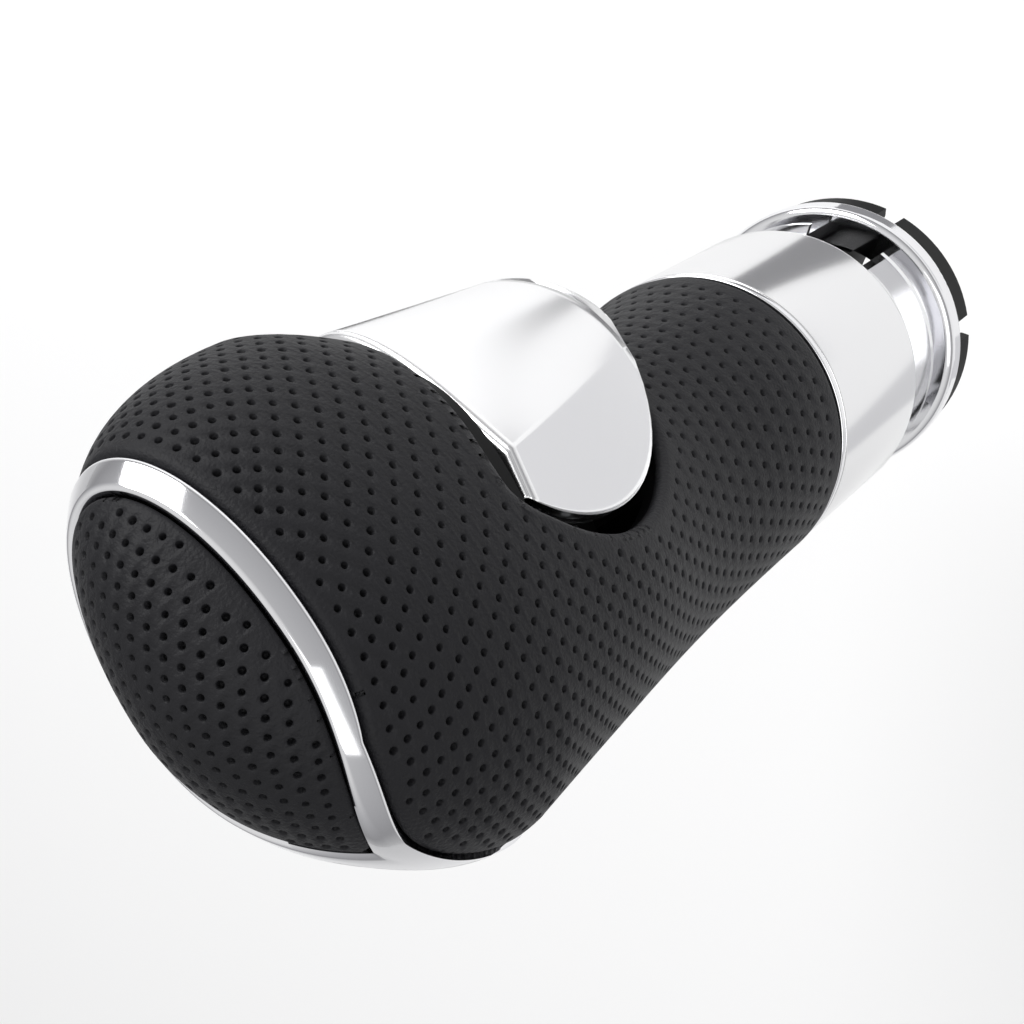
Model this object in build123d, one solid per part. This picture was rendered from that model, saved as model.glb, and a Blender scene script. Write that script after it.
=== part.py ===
from build123d import *
import math
import os

# Gear selector knob for an automatic gearbox, in millimetres.
# Z runs up the stem from the mouth of the lever bore, X points to the release button, Y across.

# Stack along the stem
FLANGE_Z = 5.0
FLANGE_THICK = 3.6
GROOVE_LENGTH = 11.4
COLLAR_LENGTH = 23.0
END_RING_THICK = 0.9
SEAM = 0.15
STEM_LENGTH = 60.1
DOME_RISE = 24.3

# Grip form
STEM_STEP = 0.1
FRONT_WAIST = 2.8
SIDE_WAIST = 2.6
SWELL_START = 0.49
HEAD_FRONT = 27.3
HEAD_BACK = 18.8
HEAD_HALF_WIDTH = 15.7
WIDEST_SIDE = 48.0
POLE_X = 4.6
POLE_START = 0.6
FRONT_FULLNESS = 2.5
BACK_FULLNESS = 1.75
SIDE_FULLNESS = 2.2
LEATHER_THICK = 1.3
GLUE = 0.05

# Top pad and the bright trim round it
TRIM_DROP = 6.8
TRIM_HEIGHT = 1.7
TRIM_PROUD = 0.3
TRIM_DEPTH = 2.0
TRIM_GAP = 0.2
TAIL_LENGTH = 19.0
TAIL_HALF_WIDTH = 6.4
TAIL_NARROWING = 0.15
TAIL_FLARE = 0.45
PAD_SEAT_DROP = 9.8
LEG_LENGTH = 8.0
LEG_WIDTH = 6.0
LEG_THICK = 2.2
LEG_SPACING = 16.0
LEG_HOOK = 0.8

# Collar, gaiter neck and lever bush
COLLAR_RADIUS = 16.0
COLLAR_WALL = 2.0
COLLAR_EDGE = 1.6
FLANGE_STEP = 0.2
FLANGE_EDGE = 0.9
COLLAR_FIT = 0.3
NECK_WALL = 1.7
RIB_HEIGHT = 1.2
RIB_THICK = 0.9
RIB_Z = 12.2
WINDOW_COUNT = 3
WINDOW_ANGLE = -54.0
WINDOW_WIDTH = 9.0
WINDOW_HEIGHT = 9.5
BORE_RADIUS = 7.0
BORE_LENGTH = 45.0
BUSH_ROOF = 5.0
SPIGOT_WALL = 2.1
WAIST_DEPTH = 1.1
FINGER_COUNT = 6
FINGER_STEP = 0.4
FINGER_CHAMFER = 1.2
FINGER_SLOT = 2.4
FINGER_SLOT_LENGTH = 19.0
SPIGOT_LENGTH = 8.0
CLAMP_WIDTH = 7.0
CLAMP_THICK = 0.6
EAR_THICK = 0.78
DOWEL_RADIUS = 1.0

# Release button
BUTTON_Z = 69.9
BUTTON_SET_IN = 1.9
BUTTON_SLOPE = 16.2
BUTTON_TOP = 11.7
BUTTON_WALL = 1.6
NOSE_X = 22.9
NOSE_LEAN = 5.0
CREASE_X = 9.9
CREASE_LEAN = -5.8
NOSE_SHARPNESS = 33.0
NOSE_FIRST_PULL = 0.55
NOSE_FIRST_GAIN = 0.08
NOSE_LAST_PULL = 0.55
NOSE_LAST_LOSS = 0.37
MOULD_BELOW = 5.0
MOULD_ABOVE = 8.0
REAR_RADIUS = 15.5
REAR_CENTRE_X = 14.0
REAR_CENTRE_Z = 85.8
BUTTON_TRAVEL = 2.0
BUTTON_CLEARANCE = 0.35
BUTTON_GAP = 1.0

# Mechanism behind the button
CAM_Z = 86.0
CAM_RATIO = 1.5
CAM_PIN_RADIUS = 1.25
SLIDER_RADIUS = 3.5
SLIDER_TIP_RADIUS = 2.7
SLIDER_FLANGE = 5.2
SLIDER_FLANGE_THICK = 2.6
SLIDER_ABOVE_PIN = 5.0
TIP_GAP = 0.5
POCKET_HEADROOM = 1.0
SPRING_ROOM_LENGTH = 15.7
SPRING_ROOM_RADIUS = 5.6
RUNNING_FIT = 0.08
CLEARANCE = 0.3
CHEEK_THICK = 1.9
CHEEK_GAP = 0.7
CARRIER_BACK = 4.5
CARRIER_FRONT = 11.0
CARRIER_BELOW = 6.5
CARRIER_ABOVE = 5.0
WEB_THICK = 3.0
GUIDE_MARGIN = 3.6
GUIDE_RISE = 3.2
GUIDE_PIN_RADIUS = 1.2
GUIDE_HEAD_RADIUS = 2.1
GUIDE_HEAD_THICK = 1.2
GUIDE_BOSS_RADIUS = 2.6
GUIDE_BOSS_START = 1.0
GUIDE_BOSS_LENGTH = 5.0
POCKET_BACK = 8.0
POCKET_WALL = 0.6
GUIDE_HOLD = 3.0
SCREW_SPACING = 6.0
SCREW_RADIUS = 1.0
SCREW_LENGTH = 7.0
SCREW_HEAD_RADIUS = 1.9
SCREW_HEAD_THICK = 1.2
HEAD_ACCESS = 4.0
HOLE_OVERRUN = 1.0
BOSS_RADIUS = 2.3
WIRE_RADIUS = 0.3
BUTTON_COIL = 1.85
SLIDER_COIL = 4.2
COIL_TURNS = 5

# Radii that follow from the collar
STEM_RADIUS = COLLAR_RADIUS + STEM_STEP
FLANGE_RADIUS = COLLAR_RADIUS + FLANGE_STEP
FINGER_RADIUS = FLANGE_RADIUS - FINGER_STEP
NECK_RADIUS = COLLAR_RADIUS - COLLAR_WALL - COLLAR_FIT
NECK_BORE = NECK_RADIUS - NECK_WALL
RIB_RADIUS = NECK_RADIUS + RIB_HEIGHT
BUSH_RADIUS = NECK_RADIUS - SPIGOT_WALL
BUSH_WAIST = BUSH_RADIUS - WAIST_DEPTH

# Widths that follow from the head
BUTTON_HALF_WIDTH = HEAD_HALF_WIDTH - BUTTON_SET_IN
GUIDE_SPACING = 2 * (BUTTON_HALF_WIDTH - BUTTON_WALL - GUIDE_MARGIN)

# Heights that follow from the stack
COLLAR_Z = FLANGE_Z + FLANGE_THICK + GROOVE_LENGTH
COLLAR_TOP = COLLAR_Z + COLLAR_LENGTH
GRIP_Z = COLLAR_TOP + SEAM + END_RING_THICK + SEAM
HEAD_Z = GRIP_Z + STEM_LENGTH
TOP_Z = HEAD_Z + DOME_RISE
TRIM_Z = TOP_Z - TRIM_DROP
TRIM_TOP = TRIM_Z + TRIM_HEIGHT
PAD_SEAT_Z = TOP_Z - PAD_SEAT_DROP
BUSH_TOP = BORE_LENGTH + BUSH_ROOF
SPIGOT_Z = COLLAR_TOP - SPIGOT_LENGTH
ROOM_TOP = BUSH_TOP + CLEARANCE + SPRING_ROOM_LENGTH
FAR = 80.0

SLOPE = math.radians(BUTTON_SLOPE)
SLIDE_FRAME = Pos(0, 0, CAM_Z) * Rot(Y=BUTTON_SLOPE)


def smoothstep(share):
    """Even start and stop between 0 and 1."""
    share = min(max(share, 0.0), 1.0)
    return share * share * (3 - 2 * share)


def dome_share(rise, power):
    """Superellipse quarter: 1 at the widest height, 0 at the pole."""
    return (1 - rise**power) ** (1 / power)


def grip_section(height_share, inset):
    """Egg-shaped slice of the grip: two half ellipses that meet at the widest line.

    A share from 0 to 1 climbs the stem, and from 1 to 2 the dome of the head.
    """
    climb = min(height_share, 1.0)
    rise = max(height_share - 1.0, 0.0)
    height = STEM_LENGTH * climb + DOME_RISE * rise
    side_climb = min(height / WIDEST_SIDE, 1.0)
    side_rise = max(height - WIDEST_SIDE, 0.0) / (STEM_LENGTH + DOME_RISE - WIDEST_SIDE)
    swell = smoothstep((climb - SWELL_START) / (1 - SWELL_START))
    front = STEM_RADIUS + (HEAD_FRONT - STEM_RADIUS) * swell - FRONT_WAIST * math.sin(math.pi * climb)
    back = STEM_RADIUS + (HEAD_BACK - STEM_RADIUS) * climb**2
    side = STEM_RADIUS + (HEAD_HALF_WIDTH - STEM_RADIUS) * smoothstep(side_climb)
    side -= SIDE_WAIST * math.sin(math.pi * side_climb) ** 2
    centre = POLE_X * smoothstep(height_share - POLE_START)
    front_half = (front - centre - inset) * dome_share(rise, FRONT_FULLNESS)
    back_half = (back + centre - inset) * dome_share(rise, BACK_FULLNESS)
    side_half = (side - inset) * dome_share(side_rise, SIDE_FULLNESS)
    level = GRIP_Z + height - inset * rise
    middle = (centre, 0)
    outline = EllipticalCenterArc(middle, front_half, side_half, start_angle=-90, arc_size=180)
    outline += EllipticalCenterArc(middle, back_half, side_half, start_angle=90, arc_size=180)
    return Pos(0, 0, level) * make_face(outline)


def grip_form(inset):
    """The whole grip, set in from the leather's outer face."""
    shares = [0, 0.14, 0.3, 0.45, 0.6, 0.74, 0.87, 1.0, 1.22, 1.42, 1.6, 1.75, 1.87, 1.95, 1.985]
    return loft([grip_section(share, inset) for share in shares])


def slab(low, high):
    """Everything between two heights."""
    block = Box(2 * FAR, 2 * FAR, high - low, align=(Align.CENTER, Align.CENTER, Align.MIN))
    return Pos(0, 0, low) * block


def tube(outer, inner, low, high):
    """Round tube on the stem's axis."""
    ring = Circle(outer) - Circle(inner)
    return Pos(0, 0, low) * extrude(ring, high - low)


def rod(radius, low, high):
    """Round bar on the stem's axis."""
    return Pos(0, 0, low) * extrude(Circle(radius), high - low)


def side_prism(outline):
    """A side-view outline drawn in X and Z, carried right across Y."""
    return extrude(Plane.XZ * outline, FAR, both=True)


def slide_rod(radius, across, start, end, rise=0.0):
    """Round bar along the button's slide, at a place across the knob."""
    bar = Plane.YZ * extrude(Circle(radius), end - start)
    return SLIDE_FRAME * Pos(start, across, rise) * bar


def pair(spacing):
    """Two places across the knob, one on each side."""
    return (-spacing / 2, spacing / 2)


def below_slide(level):
    """Side-view half plane under a line that runs with the button's slide."""
    block = Rectangle(4 * FAR, 4 * FAR, align=(Align.CENTER, Align.MAX))
    return Pos(0, CAM_Z) * Rot(Z=-BUTTON_SLOPE) * Pos(0, level) * block


def above(level):
    """Side-view half plane over a height."""
    return Pos(0, level) * Rectangle(4 * FAR, 2 * FAR, align=(Align.CENTER, Align.MIN))


def ahead(place):
    """Side-view half plane in front of a place along X."""
    return Pos(place, 0) * Rectangle(2 * FAR, 4 * FAR, align=(Align.MIN, Align.CENTER))


def button_outline(grow, travel, low, top):
    """Side view of the button: a round rear edge, a sloping top, a level lower edge, open ahead."""
    rear = Pos(REAR_CENTRE_X, REAR_CENTRE_Z) * Circle(REAR_RADIUS + grow)
    moved_x = REAR_CENTRE_X - travel * math.cos(SLOPE)
    moved_z = REAR_CENTRE_Z + travel * math.sin(SLOPE)
    rear += Pos(moved_x, moved_z) * Circle(REAR_RADIUS + grow)
    rear += ahead(REAR_CENTRE_X)
    return rear & above(low) & below_slide(top)


def button_slice(height, inset):
    """Plan of the button: straight sides, a crease, then a nose that sharpens with height."""
    sharp = (height - BUTTON_Z) / (CAM_Z + BUTTON_TOP - BUTTON_Z)
    half = BUTTON_HALF_WIDTH - inset
    crease = CREASE_X + (height - BUTTON_Z) * math.tan(math.radians(CREASE_LEAN))
    nose = NOSE_X + (height - BUTTON_Z) * math.tan(math.radians(NOSE_LEAN)) - inset
    reach = nose - crease
    turn = math.radians(NOSE_SHARPNESS) * sharp
    first = reach * (NOSE_FIRST_PULL + NOSE_FIRST_GAIN * sharp)
    last = half * (NOSE_LAST_PULL - NOSE_LAST_LOSS * sharp)
    bend = (crease + first * math.cos(turn), half - first * math.sin(turn))
    tail = -FAR
    right = Bezier((crease, -half), (bend[0], -bend[1]), (nose, -last), (nose, 0))
    left = Bezier((nose, 0), (nose, last), bend, (crease, half))
    outline = right + left + Polyline((crease, half), (tail, half), (tail, -half), (crease, -half))
    return Pos(0, 0, height) * make_face(outline)


def button_form(inset):
    """The button's body before its rear, top and lower edges are cut."""
    low = BUTTON_Z - MOULD_BELOW
    high = CAM_Z + BUTTON_TOP + MOULD_ABOVE
    return loft([button_slice(height, inset) for height in (low, (low + high) / 2, high)])


def tail_prism(margin):
    """The trim's tail seen from behind: a tongue that flares up into the band."""
    low = TRIM_Z - TAIL_LENGTH - margin
    high = TRIM_TOP
    half = TAIL_HALF_WIDTH + margin
    pull = TAIL_NARROWING * half + margin
    pull_z = high - TAIL_FLARE * TAIL_LENGTH
    left = Bezier((-half, high), (-pull, pull_z), (-margin / 2, low))
    right = Bezier((margin / 2, low), (pull, pull_z), (half, high))
    outline = left + right + Polyline((half, high), (-half, high))
    if margin:
        outline += Polyline((-margin / 2, low), (margin / 2, low))
    tongue = Plane.YZ * make_face(outline)
    return extrude(tongue, -FAR)


def coil(radius, length, turns):
    """Compression spring along Z from the origin."""
    rise = length - 2 * WIRE_RADIUS
    path = Helix(pitch=rise / turns, height=rise, radius=radius)
    start = Plane(origin=path @ 0, z_dir=path % 0)
    return Pos(0, 0, WIRE_RADIUS) * sweep(start * Circle(WIRE_RADIUS), path, is_frenet=True)


def make_leather_cover(outer, backing, recess):
    """Stitched leather skin of the stem and head."""
    cover = outer - backing
    cover &= slab(GRIP_Z, TRIM_Z - TRIM_GAP)
    return cover - tail_prism(TRIM_GAP) - recess


def make_trim_ring(proud, seat):
    """Bright band round the pad, with a tail down the back of the head."""
    band = proud - seat
    return band & (slab(TRIM_Z, TRIM_TOP) + tail_prism(0))


def make_legs(margin):
    """Snap legs under the pad carrier, or their slots when a margin is given."""
    legs = Part()
    for side in (-1, 1):
        place = POLE_X + side * LEG_SPACING / 2
        leg = Box(LEG_THICK + 2 * margin, LEG_WIDTH + 2 * margin, LEG_LENGTH + margin)
        legs += Pos(place, 0, PAD_SEAT_Z - (LEG_LENGTH + margin) / 2 + margin) * leg
        hook = Box(LEG_HOOK, LEG_WIDTH + 2 * margin, LEG_HOOK * 2)
        hook_x = place + side * (LEG_THICK / 2 + margin + LEG_HOOK / 2)
        legs += Pos(hook_x, 0, PAD_SEAT_Z - LEG_LENGTH + LEG_HOOK) * hook
    return legs


def make_grip_core(backing, seat, recess):
    """Moulded core: carries leather, trim and pad, houses the slider, its spring and the button."""
    core = backing & slab(GRIP_Z, PAD_SEAT_Z - GLUE)
    core += rod(NECK_RADIUS, SPIGOT_Z, GRIP_Z)
    core -= rod(BUSH_RADIUS + RUNNING_FIT, SPIGOT_Z, BUSH_TOP + CLEARANCE)
    core -= rod(SPRING_ROOM_RADIUS, BUSH_TOP, ROOM_TOP)
    core -= rod(SLIDER_RADIUS + RUNNING_FIT, ROOM_TOP, CAM_Z)
    core -= recess
    core -= tail_prism(TRIM_GAP) - seat
    core -= make_legs(TRIM_GAP)
    pocket_depth = POCKET_BACK + CARRIER_FRONT
    pocket_half = BUTTON_HALF_WIDTH - BUTTON_WALL - POCKET_WALL
    pocket_low = CARRIER_BELOW + CLEARANCE
    pocket_high = SLIDER_ABOVE_PIN + CLEARANCE + POCKET_HEADROOM
    corner = (Align.MIN, Align.CENTER, Align.MIN)
    pocket = Box(pocket_depth, 2 * pocket_half, pocket_low + pocket_high, align=corner)
    core -= SLIDE_FRAME * Pos(-POCKET_BACK, 0, -pocket_low) * pocket
    core -= rod(SLIDER_RADIUS + CLEARANCE, CAM_Z - pocket_low, CAM_Z + SLIDER_ABOVE_PIN + POCKET_HEADROOM)
    for across in pair(GUIDE_SPACING):
        core -= slide_rod(GUIDE_PIN_RADIUS, across, -POCKET_BACK - GUIDE_HOLD, 0, GUIDE_RISE)
    return core - make_dowels()


def make_dowels():
    """Two cross dowels that pin the bush in the core's spigot."""
    dowels = Part()
    for side in (-1, 1):
        length = NECK_RADIUS - BORE_RADIUS - 2 * CLEARANCE
        dowel = Plane.XZ * extrude(Circle(DOWEL_RADIUS), -side * length)
        dowels += Pos(0, side * (BORE_RADIUS + CLEARANCE), SPIGOT_Z + SPIGOT_LENGTH / 2) * dowel
    return dowels


def make_lever_bush():
    """Black collet bush: lever bore, slotted snap fingers under the flange, plug in the core."""
    under_flange = FLANGE_Z - SEAM
    finger_root = NECK_BORE - CLEARANCE
    profile = Polyline(
        (BORE_RADIUS, 0),
        (FINGER_RADIUS - FINGER_CHAMFER, 0),
        (FINGER_RADIUS, FINGER_CHAMFER),
        (FINGER_RADIUS, under_flange),
        (finger_root, under_flange),
        (finger_root, COLLAR_Z),
        (BUSH_WAIST, COLLAR_Z),
        (BUSH_WAIST, SPIGOT_Z - SEAM),
        (BUSH_RADIUS, SPIGOT_Z - SEAM),
        (BUSH_RADIUS, BUSH_TOP),
        (SLIDER_TIP_RADIUS + CLEARANCE, BUSH_TOP),
        (SLIDER_TIP_RADIUS + CLEARANCE, BORE_LENGTH),
        (BORE_RADIUS, BORE_LENGTH),
        close=True,
    )
    bush = revolve(Plane.XZ * make_face(profile), Axis.Z)
    slot = Box(FAR, FINGER_SLOT, FINGER_SLOT_LENGTH, align=(Align.MIN, Align.CENTER, Align.MIN))
    for step in range(FINGER_COUNT):
        bush -= Rot(Z=step * 360 / FINGER_COUNT) * slot
    return bush - make_dowels()


def make_gaiter_neck():
    """Plated neck: gaiter groove with a rib, rounded flange, windows over the finger slots."""
    groove_low = FLANGE_Z + FLANGE_THICK
    rib_low = RIB_Z - RIB_THICK / 2
    rib_high = RIB_Z + RIB_THICK / 2
    top = SPIGOT_Z - SEAM
    neck = tube(NECK_RADIUS, NECK_BORE, FLANGE_Z, top)
    flange = tube(FLANGE_RADIUS, NECK_BORE, FLANGE_Z, groove_low)
    rims = flange.edges().filter_by(GeomType.CIRCLE).group_by(SortBy.RADIUS)[-1]
    neck += fillet(rims, FLANGE_EDGE)
    neck += tube(RIB_RADIUS, NECK_BORE, rib_low, rib_high)
    window = Box(FAR, WINDOW_WIDTH, WINDOW_HEIGHT, align=(Align.MIN, Align.CENTER, Align.MIN))
    for step in range(WINDOW_COUNT):
        turn = WINDOW_ANGLE + step * 360 / WINDOW_COUNT
        neck -= Rot(Z=turn) * Pos(0, 0, groove_low) * window
    return neck


def make_collar():
    """Polished sleeve over the neck, rounded at its lower edge."""
    bore = COLLAR_RADIUS - COLLAR_WALL
    collar = tube(COLLAR_RADIUS, bore, COLLAR_Z, COLLAR_TOP)
    outer_rims = collar.edges().filter_by(GeomType.CIRCLE).group_by(SortBy.RADIUS)[-1]
    return fillet(outer_rims.group_by(Axis.Z)[0], COLLAR_EDGE)


def make_clamp_ring():
    """Steel ear clamp that squeezes the bush on the lever."""
    low = (COLLAR_Z + SPIGOT_Z - CLAMP_WIDTH) / 2
    inner = BUSH_WAIST + GLUE
    band = tube(inner + CLAMP_THICK, inner, low, low + CLAMP_WIDTH)
    ear = Box(EAR_THICK, CLAMP_WIDTH / 2, CLAMP_WIDTH, align=(Align.MIN, Align.CENTER, Align.MIN))
    return band + Pos(inner + CLAMP_THICK / 2, 0, low) * ear


def make_button_cap(mould, hollow):
    """Chromed button: a hood with a hollow open at the rear, and two screw bosses."""
    cap = mould & side_prism(button_outline(0, 0, BUTTON_Z, BUTTON_TOP))
    inner_top = BUTTON_TOP - BUTTON_WALL
    inner_cut = above(BUTTON_Z + BUTTON_WALL) & below_slide(inner_top)
    cap -= hollow & side_prism(inner_cut)
    for across in pair(SCREW_SPACING):
        boss = slide_rod(BOSS_RADIUS, across, CARRIER_FRONT + GLUE, FAR)
        cap += boss & mould
        cap -= slide_rod(SCREW_RADIUS, across, CARRIER_FRONT, CARRIER_FRONT + SCREW_LENGTH)
    return cap


def cam_slot():
    """Sloping slot in the cheeks, which turns the press into the slider's stroke."""
    run = BUTTON_TRAVEL * math.cos(SLOPE)
    drop = BUTTON_TRAVEL * (CAM_RATIO + math.sin(SLOPE))
    length = math.hypot(run, drop)
    tilt = math.degrees(math.atan2(drop, run)) - BUTTON_SLOPE
    height = 2 * (CAM_PIN_RADIUS + CLEARANCE)
    slot = Rot(Z=-tilt) * Pos(length / 2, 0) * SlotCenterToCenter(length, height)
    return SLIDE_FRAME * side_prism(slot)


def make_button_carrier():
    """Moulded carrier in the button: two slotted cheeks, a screw web and two guide bosses."""
    inner = SLIDER_RADIUS + CHEEK_GAP
    outer = inner + CHEEK_THICK
    length = CARRIER_BACK + CARRIER_FRONT
    height = CARRIER_BELOW + CARRIER_ABOVE
    block = Box(length, 2 * outer, height, align=(Align.MIN, Align.CENTER, Align.MIN))
    carrier = Pos(-CARRIER_BACK, 0, -CARRIER_BELOW) * block
    channel = Box(length - WEB_THICK, 2 * inner, height, align=(Align.MIN, Align.CENTER, Align.MIN))
    carrier -= Pos(-CARRIER_BACK, 0, -CARRIER_BELOW) * channel
    carrier = SLIDE_FRAME * carrier
    carrier -= cam_slot()
    boss_end = GUIDE_BOSS_START + GUIDE_BOSS_LENGTH
    middle = (Align.MIN, Align.CENTER, Align.CENTER)
    arms = Box(GUIDE_BOSS_LENGTH, GUIDE_SPACING, GUIDE_BOSS_RADIUS, align=middle)
    arms -= Box(GUIDE_BOSS_LENGTH, 2 * inner, GUIDE_BOSS_RADIUS, align=middle)
    carrier += SLIDE_FRAME * Pos(GUIDE_BOSS_START, 0, GUIDE_RISE) * arms
    for across in pair(GUIDE_SPACING):
        carrier += slide_rod(GUIDE_BOSS_RADIUS, across, GUIDE_BOSS_START, boss_end, GUIDE_RISE)
        carrier -= slide_rod(GUIDE_PIN_RADIUS + RUNNING_FIT, across, GUIDE_BOSS_START, boss_end, GUIDE_RISE)
    for across in pair(SCREW_SPACING):
        head_end = CARRIER_FRONT - WEB_THICK
        head_start = head_end - SCREW_HEAD_THICK - HEAD_ACCESS
        carrier -= slide_rod(SCREW_RADIUS, across, head_end - HOLE_OVERRUN, CARRIER_FRONT + HOLE_OVERRUN)
        carrier -= slide_rod(SCREW_HEAD_RADIUS + GLUE, across, head_start, head_end)
    return carrier


def make_carrier_screws():
    """Two screws through the carrier's web into the button's bosses."""
    seat = CARRIER_FRONT - WEB_THICK
    screws = Part()
    for across in pair(SCREW_SPACING):
        screws += slide_rod(SCREW_RADIUS, across, seat, seat + SCREW_LENGTH)
        screws += slide_rod(SCREW_HEAD_RADIUS, across, seat - SCREW_HEAD_THICK, seat)
    return screws


def make_guide_pins():
    """Two headed pins in the core, on which the carrier slides and the return springs sit."""
    boss_end = GUIDE_BOSS_START + GUIDE_BOSS_LENGTH
    head_start = boss_end + CLEARANCE
    pins = Part()
    for across in pair(GUIDE_SPACING):
        pins += slide_rod(GUIDE_PIN_RADIUS, across, -POCKET_BACK - GUIDE_HOLD, head_start, GUIDE_RISE)
        head_end = head_start + GUIDE_HEAD_THICK
        pins += slide_rod(GUIDE_HEAD_RADIUS, across, head_start, head_end, GUIDE_RISE)
    return pins


def make_button_springs():
    """Two return springs round the guide pins, from the pocket's back to the guide bosses."""
    spring = coil(BUTTON_COIL, POCKET_BACK + GUIDE_BOSS_START - 2 * GLUE, COIL_TURNS)
    springs = Part()
    for across in pair(GUIDE_SPACING):
        springs += SLIDE_FRAME * Pos(-POCKET_BACK + GLUE, across, GUIDE_RISE) * Rot(Y=90) * spring
    return springs


def make_rod_slider():
    """White plunger on the stem's axis: cam pin hole, stop flange, tip for the lever's rod."""
    stroke = BUTTON_TRAVEL * CAM_RATIO
    tip_z = BORE_LENGTH + stroke + TIP_GAP
    flange_top = ROOM_TOP - CLEARANCE
    flange_low = flange_top - SLIDER_FLANGE_THICK
    slider = rod(SLIDER_TIP_RADIUS, tip_z, flange_low)
    slider += rod(SLIDER_FLANGE, flange_low, flange_top)
    slider += rod(SLIDER_RADIUS, flange_top, CAM_Z + SLIDER_ABOVE_PIN)
    return slider - Pos(0, 0, CAM_Z) * side_prism(Circle(CAM_PIN_RADIUS))


def make_cam_pin():
    """Steel pin across the slider, in the slots of both cheeks."""
    half = SLIDER_RADIUS + CHEEK_GAP + CHEEK_THICK - GLUE
    pin = extrude(Plane.XZ * Circle(CAM_PIN_RADIUS), half, both=True)
    return Pos(0, 0, CAM_Z) * pin


def make_slider_spring():
    """Spring between the bush's roof and the slider's flange."""
    low = BUSH_TOP + GLUE
    high = ROOM_TOP - CLEARANCE - SLIDER_FLANGE_THICK - GLUE
    return Pos(0, 0, low) * coil(SLIDER_COIL, high - low, COIL_TURNS)


outer_form = grip_form(0)
backing_form = grip_form(LEATHER_THICK + GLUE)
proud_form = grip_form(-TRIM_PROUD)
seat_form = grip_form(TRIM_DEPTH)
carrier_form = grip_form(TRIM_DEPTH + GLUE)
leather_back = grip_form(LEATHER_THICK)
button_mould = button_form(0)
button_hollow = button_form(BUTTON_WALL)
button_recess = side_prism(
    button_outline(BUTTON_CLEARANCE, BUTTON_TRAVEL, BUTTON_Z - BUTTON_GAP, BUTTON_TOP + BUTTON_GAP)
)

nodes = {
    "grip_core": make_grip_core(backing_form, carrier_form, button_recess),
    "leather_cover": make_leather_cover(outer_form, leather_back, button_recess),
    "trim_ring": make_trim_ring(proud_form, seat_form),
    "pad_carrier": (carrier_form & slab(PAD_SEAT_Z, FAR * 2)) + make_legs(0),
    "pad_leather": (outer_form - seat_form) & slab(TRIM_TOP + TRIM_GAP, FAR * 2),
    "end_ring": tube(COLLAR_RADIUS, NECK_RADIUS + GLUE, COLLAR_TOP + SEAM, GRIP_Z - SEAM),
    "collar": make_collar(),
    "gaiter_neck": make_gaiter_neck(),
    "lever_bush": make_lever_bush(),
    "clamp_ring": make_clamp_ring(),
    "bush_dowels": make_dowels(),
    "button_cap": make_button_cap(button_mould, button_hollow),
    "button_carrier": make_button_carrier(),
    "carrier_screws": make_carrier_screws(),
    "guide_pins": make_guide_pins(),
    "button_springs": make_button_springs(),
    "rod_slider": make_rod_slider(),
    "cam_pin": make_cam_pin(),
    "slider_spring": make_slider_spring(),
}

os.makedirs("parts", exist_ok=True)
for name, shape in nodes.items():
    export_step(shape, f"parts/{name}.step")
    print(name, round(shape.volume, 1))
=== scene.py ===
import math

import bpy
import numpy as np
from mathutils import Matrix


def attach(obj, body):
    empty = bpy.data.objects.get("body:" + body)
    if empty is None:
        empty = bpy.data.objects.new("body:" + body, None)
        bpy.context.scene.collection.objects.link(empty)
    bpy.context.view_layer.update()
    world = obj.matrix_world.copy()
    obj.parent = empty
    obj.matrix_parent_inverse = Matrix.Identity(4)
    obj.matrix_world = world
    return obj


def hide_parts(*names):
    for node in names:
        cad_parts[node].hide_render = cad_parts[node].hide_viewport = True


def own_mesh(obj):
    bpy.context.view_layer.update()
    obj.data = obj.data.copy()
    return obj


# %% [markdown]
# This lesson dresses a gear selector knob: a leather grip, a release button, a collar and a bush.
# The exact model already gives the core, the mechanism inside and the way the button moves.
# Blender adds the skins that are seen, each worked out with numpy as a surface of two parameters.
# Sizes are in millimetres until a mesh is made, and Z runs up the stem.

# %% Load the frame
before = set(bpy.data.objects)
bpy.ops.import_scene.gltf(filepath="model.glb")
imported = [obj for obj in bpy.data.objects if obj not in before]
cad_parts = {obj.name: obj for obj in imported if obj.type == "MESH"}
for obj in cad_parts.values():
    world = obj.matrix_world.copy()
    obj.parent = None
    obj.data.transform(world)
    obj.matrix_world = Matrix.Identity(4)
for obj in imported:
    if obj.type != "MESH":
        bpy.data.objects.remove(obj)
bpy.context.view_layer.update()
MM = 0.001
print("frame with", len(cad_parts), "nodes")

# %% [markdown]
# The grip is one smooth body: a round stem with a waist, and a head shaped like an egg lying down.
# It could be sculpted by hand, or lofted through drawn slices as the exact model is.
# Here each slice is worked out from its height, as two half ellipses that meet at the widest line.
# Every skin then asks one formula where the surface is, so that leather, pad and trim agree.

# %% The grip's surface
GRIP_Z = 44.2
STEM_LENGTH = 60.1
DOME_RISE = 24.3
TOP_Z = GRIP_Z + STEM_LENGTH + DOME_RISE
STEM_RADIUS = 16.1
FRONT_WAIST = 2.8
SIDE_WAIST = 2.6
SWELL_START = 0.49
HEAD_FRONT = 27.3
HEAD_BACK = 18.8
HEAD_HALF_WIDTH = 15.7
WIDEST_SIDE = 48.0
POLE_X = 4.6
POLE_START = 0.6
POLE_GUARD = 0.9995
FRONT_FULLNESS = 2.5
BACK_FULLNESS = 1.75
SIDE_FULLNESS = 2.2


def smoothstep(share):
    """Even start and stop between 0 and 1: three times the square less twice the cube."""
    share = np.clip(share, 0.0, 1.0)
    return share * share * (3 - 2 * share)


def dome_share(rise, power):
    """Superellipse quarter: the power's root of one less the rise to that power, so 0 at the pole."""
    return (1 - np.clip(rise, 0.0, POLE_GUARD) ** power) ** (1 / power)


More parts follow.
